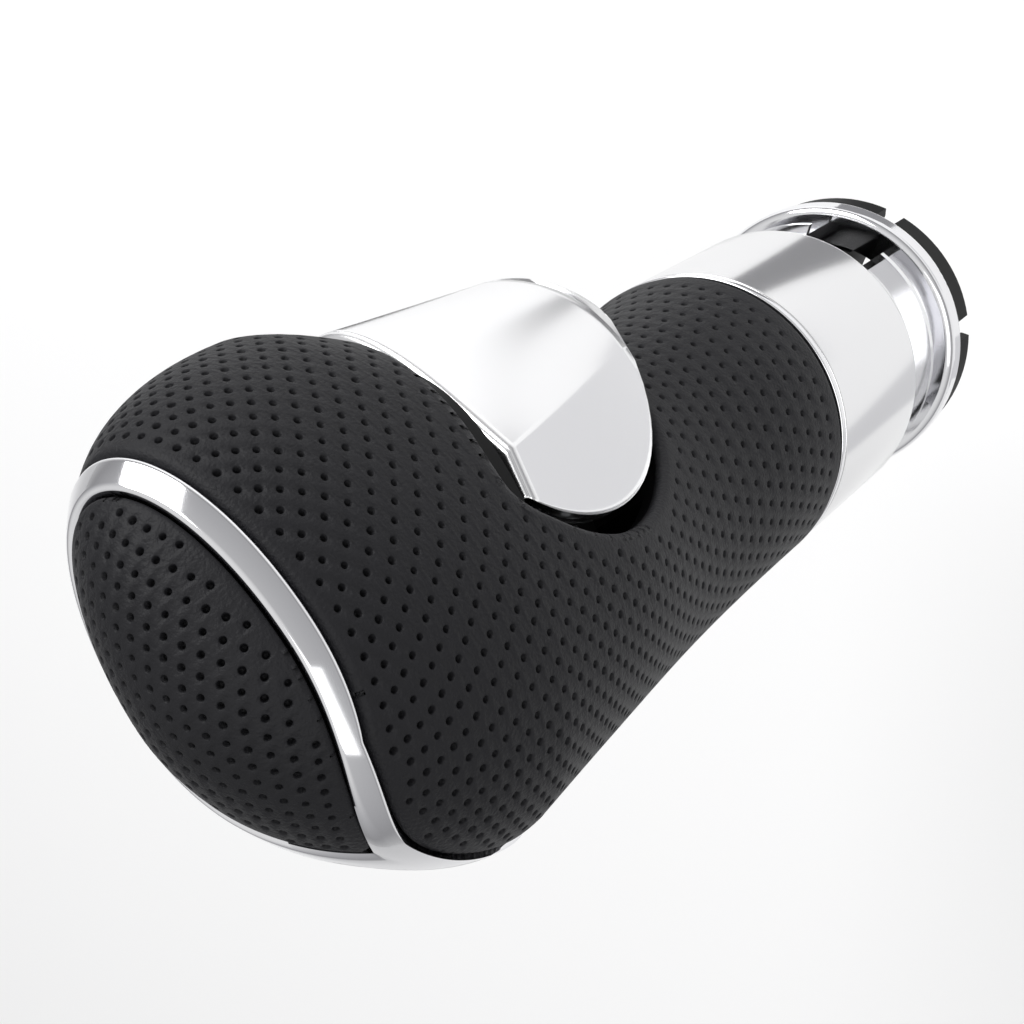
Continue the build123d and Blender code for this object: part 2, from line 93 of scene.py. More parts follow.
def grip_axes(z):
    """Centre and the front, back and side half axes of the grip's slice at a height.

    Up the stem each half axis goes from the stem's radius to the head's, less a sine for the waist.
    Over the widest height it is multiplied by a superellipse quarter that closes the dome.
    """
    height = np.asarray(z, float) - GRIP_Z
    climb = np.clip(height / STEM_LENGTH, 0, 1)
    rise = np.clip((height - STEM_LENGTH) / DOME_RISE, 0, 1)
    side_climb = np.clip(height / WIDEST_SIDE, 0, 1)
    side_rise = np.clip((height - WIDEST_SIDE) / (STEM_LENGTH + DOME_RISE - WIDEST_SIDE), 0, 1)
    swell = smoothstep((climb - SWELL_START) / (1 - SWELL_START))
    front = STEM_RADIUS + (HEAD_FRONT - STEM_RADIUS) * swell - FRONT_WAIST * np.sin(np.pi * climb)
    back = STEM_RADIUS + (HEAD_BACK - STEM_RADIUS) * climb**2
    side = STEM_RADIUS + (HEAD_HALF_WIDTH - STEM_RADIUS) * smoothstep(side_climb)
    side = side - SIDE_WAIST * np.sin(np.pi * side_climb) ** 2
    centre = POLE_X * smoothstep(climb + rise - POLE_START)
    front_half = (front - centre) * dome_share(rise, FRONT_FULLNESS)
    back_half = (back + centre) * dome_share(rise, BACK_FULLNESS)
    side_half = side * dome_share(side_rise, SIDE_FULLNESS)
    return centre, front_half, back_half, side_half


def grip_point(z, angle):
    """Point of the grip's face: the half axes times the cosine and sine of an angle from the front."""
    centre, front, back, side = grip_axes(z)
    turn = np.cos(angle)
    x = centre + np.where(turn >= 0, front, back) * turn
    y = side * np.sin(angle)
    return np.stack([x, y, np.broadcast_to(z, x.shape)], axis=-1)


print("grip from", GRIP_Z, "to", round(TOP_Z, 1), "mm")

# %% [markdown]
# A bright band parts the head's leather from the top pad, and runs down the back as a teardrop.
# Leather, pad and band all end at its two edges, so the edges are written once, before the skins.
# They could be drawn as curves, but an exponential fall gives the long thin tail with few numbers.

# %% Edges of the trim
TRIM_BELOW_TOP = 6.8
TRIM_HEIGHT = 2.1
TRIM_GAP = 0.2
TRIM_Z = TOP_Z - TRIM_BELOW_TOP
TRIM_TOP = TRIM_Z + TRIM_HEIGHT
TAIL_LENGTH = 19.0
TAIL_SHARE = 0.26
TAIL_FALL = 2.2
TAIL_STRIP = 0.018
PAD_TAIL = 4.7
PAD_TAIL_SHARE = 0.125


def tail_share(drop):
    """Half the tail's share of the half turn: an exponential fall down the back, and a thin strip."""
    return TAIL_SHARE * np.exp(-drop / TAIL_FALL) + TAIL_STRIP * (1 - drop / TAIL_LENGTH)


def tail_width(z):
    """Half width of the trim's tail: the side half axis times the sine of the tail's share of a half turn."""
    drop = np.clip(TRIM_Z - np.asarray(z, float), 0, TAIL_LENGTH)
    return grip_axes(TRIM_Z - drop)[3] * np.sin(np.pi * tail_share(drop))


def pad_level(angle, level):
    """Height of the trim's inner side: a level, less an exponential that grows to the back's point."""
    return level - PAD_TAIL * np.exp(-(1 - np.abs(angle) / np.pi) / PAD_TAIL_SHARE)


print("trim from", round(TRIM_Z, 2), "to", round(TRIM_TOP, 2), "mm")

# %% [markdown]
# A mesh is made in one go from arrays of points and faces, with its place in its vertices.
# Editing tools could build it face by face, but whole arrays are quicker and keep the formula in sight.
# Each new piece rides on a body of the frame and takes the place of the solid that it covers.

# %% Helpers for meshes
def make_mesh(name, points, faces, material, body, slot, replaced=(), sharp_angle=None):
    """A piece from points in millimetres and a list of faces, smooth shaded."""
    mesh = bpy.data.meshes.new(name)
    mesh.from_pydata((np.asarray(points) * MM).tolist(), [], faces)
    mesh.validate()
    mesh.polygons.foreach_set("use_smooth", np.ones(len(mesh.polygons), bool))
    if sharp_angle:
        mesh.set_sharp_from_angle(angle=math.radians(sharp_angle))
    mesh.materials.append(material)
    piece = bpy.data.objects.new(name, mesh)
    bpy.context.scene.collection.objects.link(piece)
    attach(piece, body)
    if replaced:
        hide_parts(*replaced)
    print(name, len(mesh.polygons), "faces")
    return piece


def grid_faces(rows, columns, close_rows=False, close_columns=False, flip=False):
    """Quads of a grid whose points are stored row by row: each joins a point to the next row and column."""
    i = np.arange(rows if close_rows else rows - 1)
    j = np.arange(columns if close_columns else columns - 1)
    i, j = np.meshgrid(i, j, indexing="ij")
    below, right = (i + 1) % rows, (j + 1) % columns
    corners = [i * columns + j, i * columns + right, below * columns + right, below * columns + j]
    quads = np.stack(corners, -1).reshape(-1, 4)
    return (quads[:, ::-1] if flip else quads).tolist()


print("a grid of 3 by 3 points has", len(grid_faces(3, 3)), "faces")

# %% [markdown]
# A material starts from what the real one is, and colours are written as they look on a screen.
# Blender shades in linear light, so one function turns screen colours into linear ones.
# A second function adds any shader node with its settings and links, which keeps node trees short.

# %% Helpers for materials
def colour(text):
    """Linear colour from a screen colour in hexadecimal: the sRGB curve, straight near black."""
    values = np.array([int(text[k:k + 2], 16) for k in (1, 3, 5)]) / 255
    linear = np.where(values <= 0.04045, values / 12.92, ((values + 0.055) / 1.055) ** 2.4)
    return (*linear.tolist(), 1.0)


def add(tree, kind, links=(), **values):
    """A shader node with constant inputs set by name, and links from outputs to its own inputs."""
    node = tree.nodes.new(kind)
    for key, value in values.items():
        node.inputs[key.replace("_", " ")].default_value = value
    for output, own in links:
        tree.links.new(output, node.inputs[own])
    return node


def surface(name, shade, metal=0.0, rough=0.5, specular=0.5):
    """A plain surface: the material and its shader."""
    material = bpy.data.materials.new(name)
    material.use_nodes = True
    shader = material.node_tree.nodes["Principled BSDF"]
    shader.inputs["Base Color"].default_value = colour(shade)
    shader.inputs["Metallic"].default_value = metal
    shader.inputs["Roughness"].default_value = rough
    shader.inputs["Specular IOR Level"].default_value = specular
    return material, shader


print("mid grey on a screen is", round(colour("#808080")[0], 3), "in linear light")

# %% [markdown]
# The grip is covered in dyed leather with a fine pebble grain, matt from a thin finish.
# The grain is too fine for geometry, so noise in object coordinates raises it as a bump.
# Its scale is the size of a pebble in millimetres, so it stays true when the knob is looked at closely.

# %% Leather
GRAIN_SIZE = 0.32
GRAIN_HEIGHT = 0.11
GRAIN_DETAIL = 3.0

# Charcoal leather: nearly black, with a weak broad sheen that shows the form
LEATHER, hide = surface("charcoal_leather", "#17171A", rough=0.55, specular=0.22)
tree = LEATHER.node_tree
place = add(tree, "ShaderNodeTexCoord")
noise = add(tree, "ShaderNodeTexNoise", [(place.outputs["Object"], "Vector")],
            Scale=1 / (GRAIN_SIZE * MM), Detail=GRAIN_DETAIL)
grain = add(tree, "ShaderNodeBump", [(noise.outputs["Fac"], "Height")], Distance=GRAIN_HEIGHT * MM)
tree.links.new(grain.outputs["Normal"], hide.inputs["Normal"])
print("leather with pebbles of", GRAIN_SIZE, "mm")

# %% [markdown]
# The bright pieces are plated, and chrome is almost a mirror: its look comes from what stands round it.
# Three chromes differ mainly in roughness, as a plated moulding, a turned sleeve and a satin button do.
# The bush and the mechanism are plastic and steel, and the neck's windows show a part of them.

# %% Metals and plastics
# Bright chrome on moulded trim and neck: sharp reflections
CHROME, _ = surface("bright_chrome", "#E6E6E8", metal=1.0, rough=0.09)
# Polished chrome on the turned collar: reflections a little softer than the trim's
POLISHED, _ = surface("polished_chrome", "#E4E4E5", metal=1.0, rough=0.16)
# Satin chrome on the button: broad soft highlights
SATIN, _ = surface("satin_chrome", "#E9E9EA", metal=1.0, rough=0.24)
# Black glass-filled plastic of the bush and the core: matt, with little shine
PLASTIC, _ = surface("black_plastic", "#050506", rough=0.55, specular=0.12)
# White acetal of the plunger: waxy and pale
ACETAL, _ = surface("white_acetal", "#DEDED8", rough=0.4)
# Bright drawn steel of springs and pins: grey, with soft highlights
STEEL, _ = surface("bright_steel", "#A9ABAD", metal=1.0, rough=0.28)
print("materials:", ", ".join(m.name for m in (CHROME, POLISHED, SATIN, PLASTIC, ACETAL, STEEL)))

# %% [markdown]
# Perforated leather has hundreds of punched holes whose rims sink a little.
# A texture could paint them, but real holes catch the light and are part of the mesh.
# The skin is tiled with cells in two surface coordinates, and each cell has one hole in its middle.
# First come the tools of a curved surface: its tangents, its metric and the slope of a distance on it.

# %% Tools for a curved surface
STEP = 1e-4
TINY = 1e-12


def tangents(point, u, v):
    """The two tangents of a surface by central differences, and its normal as their cross product."""
    along = (point(u + STEP, v) - point(u - STEP, v)) / (2 * STEP)
    up = (point(u, v + STEP) - point(u, v - STEP)) / (2 * STEP)
    normal = np.cross(along, up)
    normal /= np.linalg.norm(normal, axis=-1, keepdims=True) + TINY
    return along, up, normal


def from_metric(along, up, p, q):
    """Cell coordinates from the products with both tangents: the surface's metric, inverted."""
    a, b, c = (along * along).sum(-1), (along * up).sum(-1), (up * up).sum(-1)
    det = a * c - b * b + TINY
    return (c * p - b * q) / det, (a * q - b * p) / det


def to_cell(along, up, move):
    """Cell coordinates of a small move on the surface."""
    return from_metric(along, up, (along * move).sum(-1), (up * move).sum(-1))


def room_slope(point, room, u, v):
    """How the room to the nearest edge changes along the surface, as a vector and in cell coordinates."""
    along, up, normal = tangents(point, u, v)
    du = (room(point(u + STEP, v)) - room(point(u - STEP, v))) / (2 * STEP)
    dv = (room(point(u, v + STEP)) - room(point(u, v - STEP))) / (2 * STEP)
    p, q = from_metric(along, up, du, dv)
    return along * p[..., None] + up * q[..., None], p, q, normal


print("surface differences use a step of", STEP, "cells")

# %% [markdown]
# A cell is a square of three by three quads, or twelve points round its edge and a hole in its middle.
# Each hole is three rings of points: a shoulder, a rim just under the face, and a floor.
# No two punched holes stretch alike, so their radii are drawn from a narrow range with a fixed seed.

# %% Cells and holes
CELL_STEPS = 3
RING = 4 * CELL_STEPS
RING_START = math.radians(225)
HOLE_RINGS = ((1.25, 0.0), (1.0, 0.07), (0.92, 0.8))
HOLE_SPREAD = (0.9, 1.08)
HOLE_SEED = 4


def cell_grid(columns, rows, closed):
    """Coordinates of the grid's points, the point numbers of each cell, and the middles of the cells."""
    n_u = columns * CELL_STEPS + (0 if closed else 1)
    n_v = rows * CELL_STEPS + 1
    u, v = np.meshgrid(np.arange(n_u) / CELL_STEPS, np.arange(n_v) / CELL_STEPS, indexing="ij")
    ci, cj = np.meshgrid(np.arange(columns), np.arange(rows), indexing="ij")
    ci, cj = ci.ravel(), cj.ravel()
    steps = np.arange(CELL_STEPS + 1)
    i = CELL_STEPS * ci[:, None, None] + steps[:, None]
    j = CELL_STEPS * cj[:, None, None] + steps
    return u.ravel(), v.ravel(), (i % n_u) * n_v + j, ci + 0.5, cj + 0.5


def hole_rings(point, u, v, hole_radius):
    """Circles of points round each hole's middle, each with its share of the radius and its depth."""
    along, up, normal = tangents(point, u, v)
    first = along / np.linalg.norm(along, axis=1, keepdims=True)
    second = np.cross(normal, first)
    angle = (RING_START + np.arange(RING) * 2 * np.pi / RING)[:, None]
    circle = np.cos(angle) * first[:, None] + np.sin(angle) * second[:, None]
    wobble = np.random.default_rng(HOLE_SEED).uniform(*HOLE_SPREAD, len(u))
    rings = []
    for share, depth in HOLE_RINGS:
        move = hole_radius * share * wobble[:, None, None] * circle
        du, dv = to_cell(along[:, None], up[:, None], move)
        rings.append(point(u[:, None] + du, v[:, None] + dv) - normal[:, None] * depth)
    return rings


print("a hole has", len(HOLE_RINGS), "rings of", RING, "points")

# %% [markdown]
# Where cells meet an opening, their points slide onto its edge and a rolled lip is added, as on a hem.
# Cutting the openings with a boolean would leave slivers, and the sliding keeps clean quads instead.
# The lip starts from the sides of faces that have no neighbour, so it finds every opening by itself.

# %% Openings and lips
SLIDES = 12
SMALL = 1e-9
LIP_STEPS = 5
LIP_SPARE = 1.05
SKIN_DEPTH = 1.2


def slide_to_edge(point, room, u, v, late):
    """Move points that lie past an edge back onto it: Newton steps along the slope of the room."""
    for _ in range(SLIDES):
        slope, p, q, _normal = room_slope(point, room, u[late], v[late])
        size = (slope * slope).sum(-1) + SMALL
        gap = room(point(u[late], v[late]))
        u[late] -= gap * p / size
        v[late] -= gap * q / size


def open_sides(*groups):
    """Directed sides of faces that no second face runs the other way: they lie along the openings."""
    sides = [np.stack([loop.T, np.roll(loop, -1, 1).T], -1).reshape(-1, 2) for loop in groups]
    pairs = np.concatenate(sides)
    count = pairs.max() + 1
    code = pairs[:, 0] * count + pairs[:, 1]
    back = pairs[:, 1] * count + pairs[:, 0]
    return pairs[~np.isin(code, back)]


def rolled_lip(edge, outward, normal, roll):
    """Rows of points over an edge: a quarter round outward and down, then on to the skin's depth."""
    turns = np.linspace(0, np.pi / 2, LIP_STEPS + 1)[1:]
    rows = [edge + outward * roll * math.sin(t) - normal * roll * (1 - math.cos(t)) for t in turns]
    return rows + [edge + outward * roll - normal * np.maximum(roll * LIP_SPARE, SKIN_DEPTH)]


print("a lip has", LIP_STEPS + 1, "rows of quads")

# %% [markdown]
# The shell joins it all: cells with holes, plain quads at the openings, lips, and an inner face.
# Solidify could give the thickness, but it would fold at the small holes.
# Numbering the inner points closes the skin as one shell without seams.

# %% The tiled shell
HOLE_ROOM = 0.5


def tile_skin(point, room, lip_radius, columns, rows, closed, hole_radius):
    """Closed shell of perforated cells.

    point gives the place in space of cell coordinates u and v, room the distance to the nearest edge,
    and lip_radius the radius of the roll at that edge.
    Rings of points sink from the cell's edge to the hole's floor, and a quarter-round lip ends the skin.
    """
    u, v, block, mid_u, mid_v = cell_grid(columns, rows, closed)
    inside = room(point(u, v)) > 0
    clear = room(point(mid_u, mid_v)) > HOLE_ROOM
    full = block[clear]
    edge = np.concatenate([full[:, :-1, 0], full[:, -1, :-1], full[:, :0:-1, -1], full[:, 0, :0:-1]], 1)

    # Plain quads of the cells that meet an opening, with their far points slid onto its edge
    some = inside[block].any((1, 2)) & ~clear
    quads = np.stack([block[:, :-1, :-1], block[:, 1:, :-1], block[:, 1:, 1:], block[:, :-1, 1:]], -1)
    quads = quads[some].reshape(-1, 4)
    quads = quads[inside[quads].any(1)]
    late = np.unique(np.concatenate([quads[~inside[quads]], edge[~inside[edge]]]))
    slide_to_edge(point, room, u, v, late)
    outer = point(u, v)
    normal = tangents(point, u, v)[2]

    # Walls of the holes, from the cell's edge in to the floor
    rings = hole_rings(point, mid_u[clear], mid_v[clear], hole_radius)
    base = len(outer)
    in_ring = len(edge) * RING
    numbers = base + np.arange(in_ring).reshape(-1, RING)
    loops = [edge] + [numbers + k * in_ring for k in range(len(rings))]
    walls = [np.stack([a, np.roll(a, -1, 1), np.roll(b, -1, 1), b], -1).reshape(-1, 4)
             for a, b in zip(loops, loops[1:])]

    # Lips along the openings
    rim = open_sides(quads, edge)
    rim_points = np.unique(rim)
    slope, _p, _q, rim_normal = room_slope(point, room, u[rim_points], v[rim_points])
    outward = -slope / (np.linalg.norm(slope, axis=1, keepdims=True) + TINY)
    rim_edge = outer[rim_points]
    lip = rolled_lip(rim_edge, outward, rim_normal, lip_radius(rim_edge)[:, None])
    in_lip = len(rim_points)
    lip_start = base + len(rings) * in_ring
    levels = [rim] + [lip_start + k * in_lip + np.searchsorted(rim_points, rim) for k in range(len(lip))]
    lip_quads = [np.stack([a[:, 1], a[:, 0], b[:, 0], b[:, 1]], -1) for a, b in zip(levels, levels[1:])]

    # Inner face: the same cells turned over, a skin's depth below, joined to the lips' last row
    inner = lip_start + len(lip) * in_lip + np.arange(base)
    inner[rim_points] = lip_start + (len(lip) - 1) * in_lip + np.arange(in_lip)
    holes = [ring.reshape(-1, 3) for ring in rings]
    points = np.concatenate([outer, *holes, *lip, outer - normal * SKIN_DEPTH])
    groups = [quads, *walls, loops[-1], *lip_quads, inner[quads][:, ::-1], inner[edge][:, ::-1]]

    # Keep the points that a face uses
    used = np.unique(np.concatenate([group.ravel() for group in groups]))
    faces = [face for group in groups for face in np.searchsorted(used, group).tolist()]
    return points[used], faces


print("cells get a hole from", HOLE_ROOM, "mm inside an edge")

# %% [markdown]
# The big skin wraps the stem and the head. It ends at the collar, at the trim and at the button's recess.
# On the real grip the leather is turned over at those edges, and more loosely over the button.
# A bevel would give one radius everywhere, so the roll's radius is a function of the place instead.

# %% Rolled edges of the leather
CAM_Z = 86.0
BUTTON_SLOPE = math.radians(16.2)
BUTTON_TOP = 11.7
EDGE_ROLL = 0.8
HOOD_ROLL = 2.0
HOOD_LEAD = 4.0
HOOD_BLEND = 5.0
HOOD_BELOW_TRIM = 12.0


def slide_height(x, z):
    """Height over the slide line through the cam pin, measured square to the button's slide."""
    return x * math.sin(BUTTON_SLOPE) + (z - CAM_Z) * math.cos(BUTTON_SLOPE)


def cover_roll(p):
    """Radius of the leather's rolled edge: small, and blended to a larger one over the button."""
    x, z = p[..., 0], p[..., 2]
    over = smoothstep((slide_height(x, z) - BUTTON_TOP + HOOD_LEAD) / HOOD_BLEND) * smoothstep(x / HOOD_BLEND)
    below_trim = smoothstep((TRIM_Z - HOOD_BELOW_TRIM - z) / HOOD_BLEND)
    return EDGE_ROLL + (HOOD_ROLL - EDGE_ROLL) * over * below_trim


print("leather rolls by", EDGE_ROLL, "mm, and up to", HOOD_ROLL, "mm over the button")

# %% [markdown]
# One function says how far a point is from its nearest edge, so every edge is cut in the same way.
# It takes the least of four distances: to the recess, to the trim, to the trim's tail and to the lower end.
# The recess is as large as the button needs both at rest and pressed, with its upper corner rounded.

# %% Room to the leather's edges
BUTTON_Z = 69.9
BUTTON_GAP = 1.0
BUTTON_TRAVEL = 2.0
BUTTON_CLEARANCE = 0.35
REAR_RADIUS = 15.5
REAR_CENTRE = (14.0, 85.8)
HOOD_RISE = 2.0
CORNER = 3.0
END_GAP = 0.3
FLARE_STEP = 0.01


def below_level(p, level):
    """Distance down the dome from a level to a point: the hypotenuse of its drop and its step outward."""
    centre, front, back, side = grip_axes(level)
    x, y = p[..., 0] - centre, p[..., 1]
    share = np.hypot(x / np.where(x >= 0, front, back), y / side)
    step = (share - 1) / (share + SMALL) * np.hypot(x, y)
    return np.hypot(step, level - p[..., 2]) * np.sign(level - p[..., 2])


def rounded_corner(first, second):
    """The larger of two distances, raised by a parabola where they are close, which rounds the corner."""
    near = np.maximum(CORNER - np.abs(first - second), 0)
    return np.maximum(first, second) + near**2 / (4 * CORNER)


def recess_room(x, z):
    """Distance from the button's recess: its round rear at rest and pressed, its floor and its top."""
    moved_x = REAR_CENTRE[0] - BUTTON_TRAVEL * math.cos(BUTTON_SLOPE)
    moved_z = REAR_CENTRE[1] + BUTTON_TRAVEL * math.sin(BUTTON_SLOPE)
    at_rest = np.hypot(x - REAR_CENTRE[0], z - REAR_CENTRE[1])
    pressed = np.hypot(x - moved_x, z - moved_z)
    rear = np.minimum(at_rest, pressed) - (REAR_RADIUS + BUTTON_CLEARANCE)
    rear = np.minimum(rear, REAR_CENTRE[0] - x)
    recess = np.maximum(rear, BUTTON_Z - BUTTON_GAP - z)
    return rounded_corner(recess, slide_height(x, z) - BUTTON_TOP - BUTTON_GAP - HOOD_RISE)


def tail_room(x, y, z):
    """Distance from the trim's tail: the step past its half width, made square to its flared side."""
    flare = (tail_width(z + FLARE_STEP) - tail_width(z - FLARE_STEP)) / (2 * FLARE_STEP)
    beside = (np.abs(y) - tail_width(z)) / np.sqrt(1 + flare**2) - TRIM_GAP
    return np.where(x < 0, np.maximum(beside, TRIM_Z - TAIL_LENGTH - z), TAIL_LENGTH)


def cover_room(p):
    """Distance from a point to where the leather's roll starts: the least of all edges, less the roll."""
    x, y, z = p[..., 0], p[..., 1], p[..., 2]
    under_trim = below_level(p, TRIM_Z - TRIM_GAP)
    edges = [recess_room(x, z), under_trim, tail_room(x, y, z), z - GRIP_Z - END_GAP]
    return np.minimum.reduce(edges) - cover_roll(p)


front_top = grip_point(TOP_Z - DOME_RISE, np.array(0.0))
print("leather has", round(float(cover_room(front_top)), 1), "mm to an edge at the front of the head")

# %% [markdown]
# The holes stand in staggered rows: 52 round the grip, wide apart on the stem and closer on the head.
# A perforated hide stretches over the form, so the count round it stays the same at every height.
# The rows are spaced along the side line by summing its length over the pitch wanted there.

# %% Leather of the stem and head
HOLE_COLUMNS = 52
HOLE_RADIUS = 0.31
STEM_ROW = 2.15
HEAD_ROW = 1.17
ROW_GAIN = 1.4
ROW_START = 0.4
ROWS_BELOW = 2.0
ROWS_SHORT = 1.0
HEIGHT_STEPS = 2000

heights = np.linspace(GRIP_Z - ROWS_BELOW, TOP_Z - ROWS_SHORT, HEIGHT_STEPS)
side_line = grip_point(heights, np.full_like(heights, -np.pi / 2))
closer = smoothstep((heights[1:] - GRIP_Z) / STEM_LENGTH * ROW_GAIN - ROW_START)
pitch = STEM_ROW + (HEAD_ROW - STEM_ROW) * closer
row = np.concatenate([[0], np.cumsum(np.linalg.norm(np.diff(side_line, axis=0), axis=1) / pitch)])


def cover_point(u, v):
    """Place on the grip: u counts holes round it and v rows up it, each row shifted by half a hole."""
    return grip_point(np.interp(v, row, heights), (u + v / 2) * 2 * np.pi / HOLE_COLUMNS)


points, faces = tile_skin(cover_point, cover_room, cover_roll, HOLE_COLUMNS, int(row[-1]), True, HOLE_RADIUS)
make_mesh("leather_skin", points, faces, LEATHER, "grip", "grip_leather", ["leather_cover"])

# %% [markdown]
# The top pad is a separate cut of the same leather, crowned over its carrier inside the bright band.
# Its holes run in straight rows across the head, so it can't use the grip's round columns.
# A flat staggered grid is bent by a sine in both directions and lifted onto the dome.

# %% Leather of the top pad
PAD_PITCH = 1.67
PAD_ROW = 1.25
PAD_ROLL = 0.5
PAD_BEND = 1.35
PAD_LONG = 1.15
PAD_WIDE = 1.2
PAD_HOLE_SHARE = 0.95
PAD_EDGE = TRIM_TOP + TRIM_GAP
DOME_HALVINGS = 40
pad_centre, pad_front, pad_back, pad_side = grip_axes(PAD_EDGE - PAD_TAIL)
pad_reach = PAD_LONG * (pad_front + pad_back) / 2
pad_span = PAD_WIDE * pad_side
pad_rows = 2 * int(pad_reach * PAD_BEND / PAD_ROW)
pad_columns = 2 * int(pad_span * PAD_BEND / PAD_PITCH + pad_rows / 4)


def dome_height(x, y):
    """Height of the dome over a place in plan, found by halving the interval."""
    low = np.full(np.broadcast(x, y).shape, GRIP_Z + STEM_LENGTH)
    high = np.full(low.shape, TOP_Z)
    for _ in range(DOME_HALVINGS):
        middle = (low + high) / 2
        centre, front, back, side = grip_axes(middle)
        half = np.where(x >= centre, front, back)
        within = ((x - centre) / half) ** 2 + (y / side) ** 2 < 1
        low = np.where(within, middle, low)
        high = np.where(within, high, middle)
    return low


def pad_point(u, v):
    """Place on the pad: staggered rows across the head, bent by a sine and lifted onto the dome."""
    along = (v - pad_rows / 2) * PAD_ROW / pad_reach
    across = (u - pad_columns / 2 + (v - pad_rows / 2) / 2) * PAD_PITCH / pad_span
    x = pad_centre + (pad_front - pad_back) / 2 + pad_reach * np.sin(np.clip(along, -PAD_BEND, PAD_BEND))
    y = -pad_span * np.sin(np.clip(across, -PAD_BEND, PAD_BEND))
    return np.stack(np.broadcast_arrays(x, y, dome_height(x, y)), -1)


def pad_room(p):
    """Distance from a point of the pad to where its roll beside the trim starts."""
    centre, front, back, side = grip_axes(p[..., 2])
    x = p[..., 0] - centre
    angle = np.arctan2(p[..., 1] / side, x / np.where(x >= 0, front, back))
    return -below_level(p, pad_level(angle, PAD_EDGE)) - PAD_ROLL


def pad_roll(p):
    """Radius of the pad's rolled edge, the same all round."""
    return np.full(p.shape[:-1], PAD_ROLL)


pad_hole = HOLE_RADIUS * PAD_HOLE_SHARE
points, faces = tile_skin(pad_point, pad_room, pad_roll, pad_columns, pad_rows, False, pad_hole)
make_mesh("pad_skin", points, faces, LEATHER, "grip", "pad_leather", ["pad_leather"])

# %% [markdown]
# The trim is a plated moulding, slightly arched, that stands a little proud of the leather.
# A profile swept along a curve would twist where the band turns down into its tail.
# Joining the two edges point by point, from the front round to the back, keeps it flat on the dome.

# %% Trim ring
TRIM_PROUD = 0.3
TRIM_WALL = 1.6
TRIM_STEPS = 150
TRIM_ACROSS = 22
ARCH_GAIN = 8
SHARP_EDGE = 50


def trim_edges():
    """Inner and outer edge of the trim, each as heights and angles from the front round to the back."""
    share = np.linspace(0, 1, TRIM_STEPS)
    start = 1 - float(tail_share(0.0))
    drop = TAIL_LENGTH * np.clip((share - start) / (1 - start), 0, 1) ** 2
    outer_angle = np.where(share > start, np.pi * (1 - tail_share(drop)), share * np.pi)
    return pad_level(share * np.pi, TRIM_TOP), share * np.pi, TRIM_Z - drop, outer_angle


def lifted(z, angle, lift):
    """Point over the grip's face by a height along its normal."""
    normal = tangents(lambda p, q: grip_point(q, p), angle, z)[2]
    return grip_point(z, angle) + normal * np.asarray(lift)[..., None]


def trim_points():
    """Closed band: its face arches as a square root from each edge, and its walls go down by the leather."""
    inner_z, inner_angle, outer_z, outer_angle = trim_edges()
    share = np.linspace(0, 1, TRIM_ACROSS)
    arch = TRIM_PROUD * np.clip(np.minimum(share, 1 - share) * ARCH_GAIN, 0, 1) ** 0.5
    share = np.concatenate([[0], share, [1]])
    lift = np.concatenate([[-TRIM_WALL], arch, [-TRIM_WALL]])
    z = inner_z[:, None] + (outer_z - inner_z)[:, None] * share
    angle = inner_angle[:, None] + (outer_angle - inner_angle)[:, None] * share
    half = lifted(z, angle, np.broadcast_to(lift, z.shape))
    other = half[-2:0:-1] * np.array([1, -1, 1])
    return np.concatenate([half, other])


band = trim_points()
faces = grid_faces(*band.shape[:2], True, True)
make_mesh("trim_skin", band.reshape(-1, 3), faces, CHROME, "grip", "trim_chrome", ["trim_ring"],
          sharp_angle=SHARP_EDGE)

# %% [markdown]
# The release button is a plated hood, open at the rear, with a crease down each side and a blunt nose.
# It could be a box with bevels, but its nose sharpens with height, so each height gets its own plan.
# A plan is a straight side and then a cubic Bezier curve from the crease round to the nose.

# %% Plan of the button
BUTTON_HALF_WIDTH = 13.8
NOSE_X = 22.9
NOSE_LEAN = math.tan(math.radians(5.0))
NOSE_SHARPNESS = math.radians(33.0)
CREASE_X = 9.9
CREASE_LEAN = math.tan(math.radians(-5.8))
PULL = 0.55
CREASE_PULL_GAIN = 0.08
NOSE_PULL_LOSS = 0.37
PLAN_HALVINGS = 30


